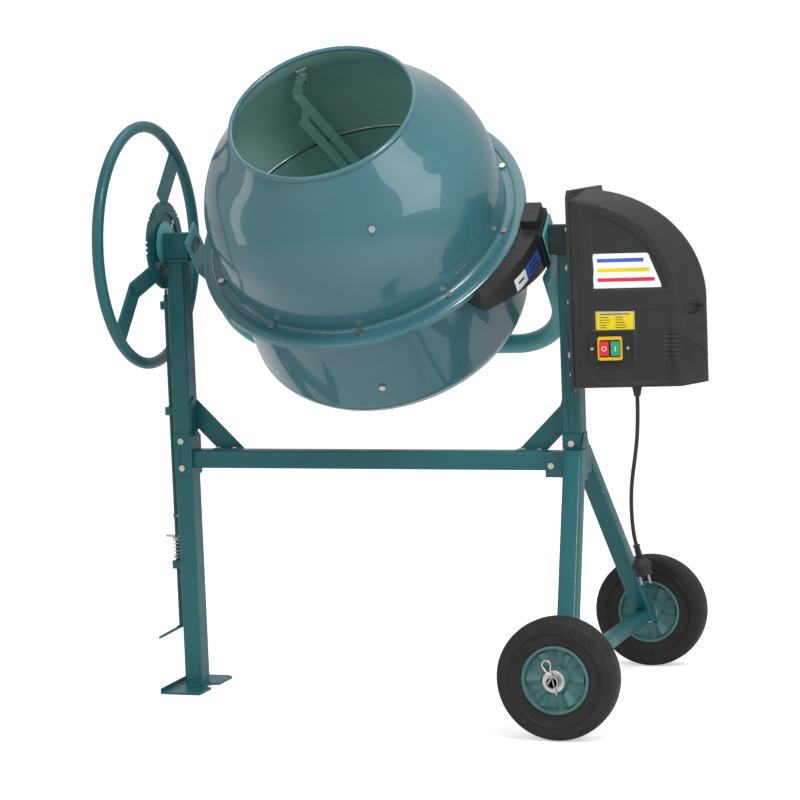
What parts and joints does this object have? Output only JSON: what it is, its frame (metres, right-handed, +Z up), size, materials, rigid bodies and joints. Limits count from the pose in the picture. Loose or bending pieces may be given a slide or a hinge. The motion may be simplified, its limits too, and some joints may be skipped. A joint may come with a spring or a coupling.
{
  "type": "concrete mixer",
  "caption": "Electric tilting-drum concrete mixer: geared drum in a bent-tube yoke, tilt wheel with foot lock, motor housing and wheeled stand.",
  "frame": {"origin": "middle of the footprint box, on the ground", "axes": "+X along the tilt axis from the tilt wheel to the motor housing, +Y away from the drum's mouth towards the rear, +Z up; drum at its mixing position"},
  "size_m": [1.2695, 0.864, 1.4043],
  "materials": {
    "frame_paint": "semi-gloss dark teal paint",
    "yoke_paint": "semi-gloss teal paint",
    "drum_paint": "glossy blue-teal paint",
    "zinc": "zinc plated",
    "steel": "machined steel",
    "dark_steel": "dark coated steel",
    "gear_iron": "cast, oiled",
    "tyre": "solid rubber",
    "rim_plastic": "moulded teal plastic",
    "cover_plastic": "moulded charcoal plastic",
    "guard_plastic": "moulded dark plastic",
    "belt_rubber": "rubber",
    "cable_rubber": "rubber sheath",
    "motor_paint": "painted",
    "switch_black": "moulded",
    "switch_yellow": "moulded",
    "button_red": "moulded",
    "button_green": "moulded",
    "label_yellow": "printed film",
    "capacitor_plastic": "moulded"
  },
  "bodies": {
    "frame": {"left_post": "frame_paint", "left_foot": "frame_paint", "right_post": "frame_paint", "cross_beam": "frame_paint", "beam_brackets": "frame_paint", "beam_braces": "frame_paint", "frame_fasteners": "zinc", "stand_collar": "frame_paint", "stand_legs": "frame_paint", "stand_cross_tube": "frame_paint", "wheel_axle": "steel", "wheel_washers": "zinc", "hairpin_clips": "zinc", "left_bearing_bracket": "frame_paint", "right_bearing_block": "dark_steel", "pedal_guides": "frame_paint", "return_spring": "zinc", "housing_back_plate": "dark_steel", "housing_brackets": "frame_paint", "housing_cover": "cover_plastic", "housing_screws": "zinc", "motor_body": "motor_paint", "motor_bracket": "motor_paint", "capacitor": "capacitor_plastic", "drive_belt": "belt_rubber", "switch_base": "switch_black", "switch_bezel": "switch_yellow", "labels": "label_yellow", "cable_gland": "cable_rubber", "power_cable": "cable_rubber", "plug_body": "cable_rubber", "plug_pins": "steel"},
    "yoke": {"yoke_tube": "yoke_paint", "trunnions": "yoke_paint", "yoke_bearings": "steel", "notched_disc": "yoke_paint", "tilt_wheel_rim": "yoke_paint", "tilt_wheel_spokes": "yoke_paint", "tilt_wheel_bolts": "zinc", "spindle_housing": "yoke_paint", "pinion_guard": "guard_plastic"},
    "drum": {"drum_lower": "drum_paint", "drum_upper": "drum_paint", "ring_gear": "gear_iron", "drum_spindle": "steel", "mixing_blades": "drum_paint", "drum_bolts": "zinc"},
    "pinion": {"pinion_gear": "gear_iron", "pinion_shaft": "steel", "driven_pulley": "gear_iron"},
    "motor_rotor": {"motor_shaft": "steel"},
    "front_wheel": {"front_tyre": "tyre", "front_rim": "rim_plastic"},
    "rear_wheel": {"rear_tyre": "tyre", "rear_rim": "rim_plastic"},
    "pedal": {"pedal_bar": "frame_paint", "pedal_hardware": "zinc"},
    "start": {"start_button": "button_green"},
    "stop": {"stop_button": "button_red"}
  },
  "joints": [
    {"name": "tilt", "type": "hinge", "parent": "frame", "child": "yoke", "pos_m": [-0.10425, 0, 0.988], "axis": [1, 0, 0], "range_deg": [-168, 90]},
    {"name": "drum_spin", "type": "hinge", "parent": "yoke", "child": "drum", "pos_m": [-0.10425, 0, 0.988], "axis": [0, -0.6691, 0.7431], "continuous": true},
    {"name": "pinion_spin", "type": "hinge", "parent": "yoke", "child": "pinion", "pos_m": [-0.10425, 0, 0.988], "axis": [1, 0, 0], "continuous": true},
    {"name": "motor_spin", "type": "hinge", "parent": "frame", "child": "motor_rotor", "pos_m": [-0.10425, 0, 0.79], "axis": [1, 0, 0], "continuous": true},
    {"name": "front_wheel_spin", "type": "hinge", "parent": "frame", "child": "front_wheel", "pos_m": [0.40075, -0.38, 0.125], "axis": [0, 1, 0], "continuous": true},
    {"name": "rear_wheel_spin", "type": "hinge", "parent": "frame", "child": "rear_wheel", "pos_m": [0.40075, 0.38, 0.125], "axis": [0, 1, 0], "continuous": true},
    {"name": "pedal_slide", "type": "slide", "parent": "frame", "child": "pedal", "axis": [0, 0, 1], "range_m": [-0.012, 0.008], "stiffness_N_per_m": 900, "springref_m": 0.008, "deforming": ["return_spring"]},
    {"name": "start_press", "type": "slide", "parent": "frame", "child": "start", "axis": [-0.1592, 0.9872, 0], "range_m": [0, 0.003]},
    {"name": "stop_press", "type": "slide", "parent": "frame", "child": "stop", "axis": [-0.1592, 0.9872, 0], "range_m": [0, 0.003]}
  ],
  "couplings": [
    {"joint": "pinion_spin", "follows": "drum_spin", "ratio": -9.7857},
    {"joint": "motor_spin", "follows": "drum_spin", "ratio": -69.315}
  ]
}
